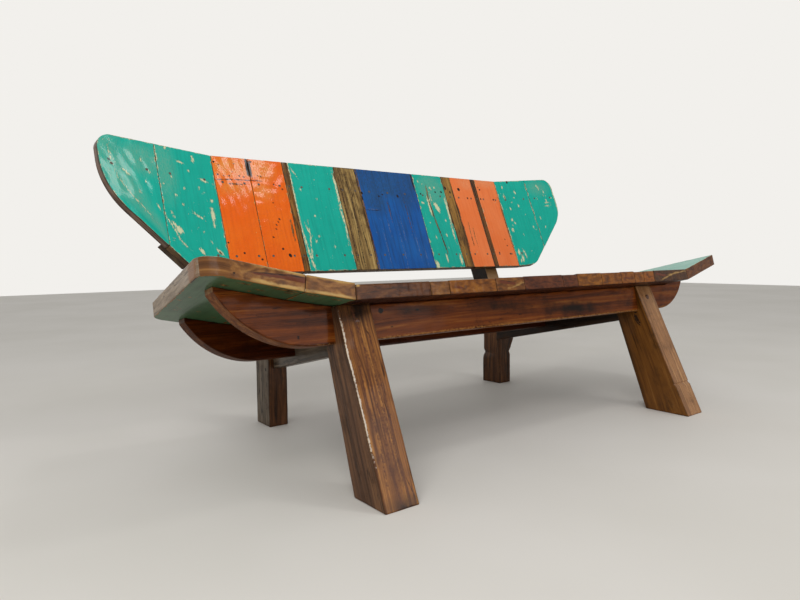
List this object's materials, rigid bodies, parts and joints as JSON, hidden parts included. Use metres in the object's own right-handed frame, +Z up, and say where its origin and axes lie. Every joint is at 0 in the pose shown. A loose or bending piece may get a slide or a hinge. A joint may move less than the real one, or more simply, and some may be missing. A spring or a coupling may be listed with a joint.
{
  "type": "settle bench",
  "caption": "Reclined wooden settle with a back of upright painted boards whose ends bend forward, a seat of short boards with lifted ends, splayed front legs and raked rear posts.",
  "frame": {"origin": "centre of the bounding box, on the floor under the feet", "axes": "+X along the settle to the sitter's left, which is the right end seen from the front; +Y towards its back; +Z up"},
  "size_m": [1.8765, 1.0006, 0.8375],
  "materials": {
    "teal_paint": "glossy worn teal paint on board",
    "orange_paint": "glossy worn orange paint on board",
    "blue_paint": "glossy worn blue paint on board",
    "brown_wood": "varnished bare brown wood",
    "seat_end_paint": "pale worn teal paint under varnish",
    "seat_wood": "varnished mixed hardwood with end grain at its front",
    "batten_wood": "varnished grey-brown wood",
    "beam_wood": "varnished red-brown hardwood",
    "rail_wood": "varnished grey-brown wood",
    "leg_wood": "glossy varnished figured brown hardwood",
    "rear_leg_wood": "varnished dark brown hardwood",
    "plug_wood": "varnished wooden plug",
    "screw_steel": "dulled steel under varnish",
    "bolt_steel": "dull zinc-plated steel"
  },
  "bodies": {
    "root": {"seat_board_01": "seat_end_paint", "seat_board_02": "seat_end_paint", "seat_board_03": "seat_wood", "seat_board_04": "seat_wood", "seat_board_05": "seat_wood", "seat_board_06": "seat_wood", "seat_board_07": "seat_wood", "seat_board_08": "seat_wood", "seat_board_09": "seat_wood", "seat_board_10": "seat_wood", "seat_board_11": "seat_wood", "seat_board_12": "seat_wood", "seat_board_13": "seat_wood", "seat_board_14": "seat_wood", "seat_board_15": "seat_end_paint", "back_board_01": "teal_paint", "back_board_02": "teal_paint", "back_board_03": "orange_paint", "back_board_04": "orange_paint", "back_board_05": "brown_wood", "back_board_06": "teal_paint", "back_board_07": "brown_wood", "back_board_08": "blue_paint", "back_board_09": "teal_paint", "back_board_10": "brown_wood", "back_board_11": "orange_paint", "back_board_12": "brown_wood", "back_board_13": "orange_paint", "back_board_14": "teal_paint", "back_board_15": "teal_paint", "upper_batten": "batten_wood", "lower_batten": "batten_wood", "front_beam": "beam_wood", "rear_beam": "beam_wood", "side_rail_left": "rail_wood", "side_rail_right": "rail_wood", "front_leg_left": "leg_wood", "front_leg_right": "leg_wood", "rear_leg_left": "rear_leg_wood", "rear_leg_right": "rear_leg_wood", "seat_screws": "screw_steel", "back_screws": "screw_steel", "leg_bolts": "bolt_steel", "leg_plugs": "plug_wood", "back_bolts": "bolt_steel"}
  },
  "joints": []
}
